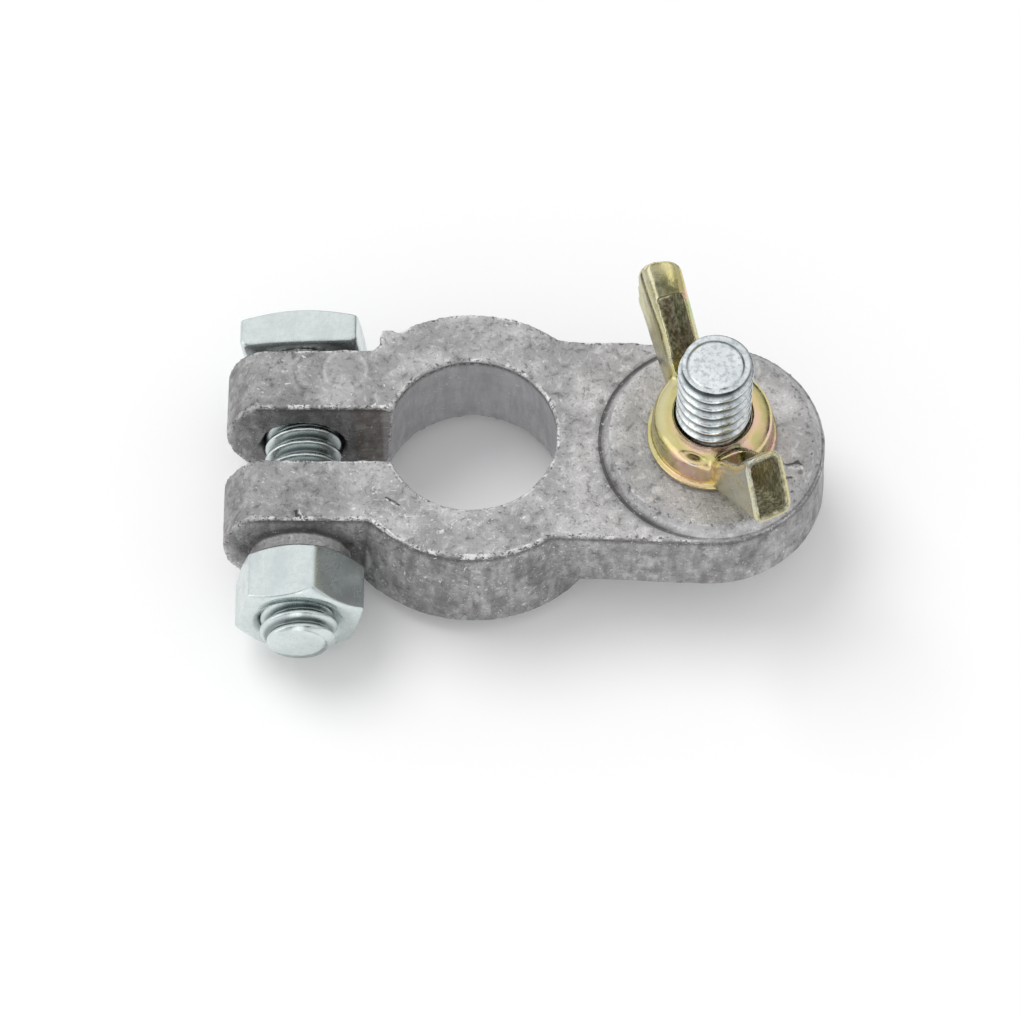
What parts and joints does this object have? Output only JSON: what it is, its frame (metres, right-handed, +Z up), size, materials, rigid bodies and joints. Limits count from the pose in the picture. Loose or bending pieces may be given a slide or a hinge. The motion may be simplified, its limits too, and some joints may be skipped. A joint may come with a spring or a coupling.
{
  "type": "battery terminal clamp",
  "caption": "Split lead clamp for a tapered battery post, drawn shut by a pinch bolt and nut, with a threaded stud and wing nut for a cable eye.",
  "frame": {"origin": "on the post bore's axis at the collar's bottom face", "axes": "+Z up along the post bore, +X from the split ears towards the stud, +Y towards the pinch bolt's square head"},
  "size_m": [0.065, 0.038, 0.0329],
  "materials": {
    "cast_lead": "dull as-cast lead, scuffed",
    "bright_zinc": "bright bluish zinc plate",
    "zinc_steel": "pale bluish zinc plate",
    "yellow_zinc": "yellow passivated zinc with an iridescent sheen"
  },
  "bodies": {
    "clamp": {"clamp_body": "cast_lead", "terminal_stud": "bright_zinc"},
    "wing_nut": {"wing_nut": "yellow_zinc"},
    "pinch_bolt": {"pinch_bolt": "zinc_steel"},
    "pinch_nut": {"pinch_nut": "zinc_steel"}
  },
  "joints": [
    {"name": "wing_nut_turn", "type": "hinge", "parent": "clamp", "child": "wing_nut", "pos_m": [0.02573, -0.0009, 0.0149], "axis": [0, 0, 1], "continuous": true},
    {"name": "pinch_nut_turn", "type": "hinge", "parent": "clamp", "child": "pinch_nut", "pos_m": [-0.01845, -0.01235, 0.0054], "axis": [0, -1, 0], "range_deg": [0, 1440.1]},
    {"name": "pinch_bolt_slide", "type": "slide", "parent": "clamp", "child": "pinch_bolt", "axis": [0, 1, 0], "range_m": [0, 0.0064]}
  ],
  "couplings": [
    {"joint": "pinch_nut_turn", "follows": "pinch_bolt_slide", "rad_per_m": 3927}
  ]
}
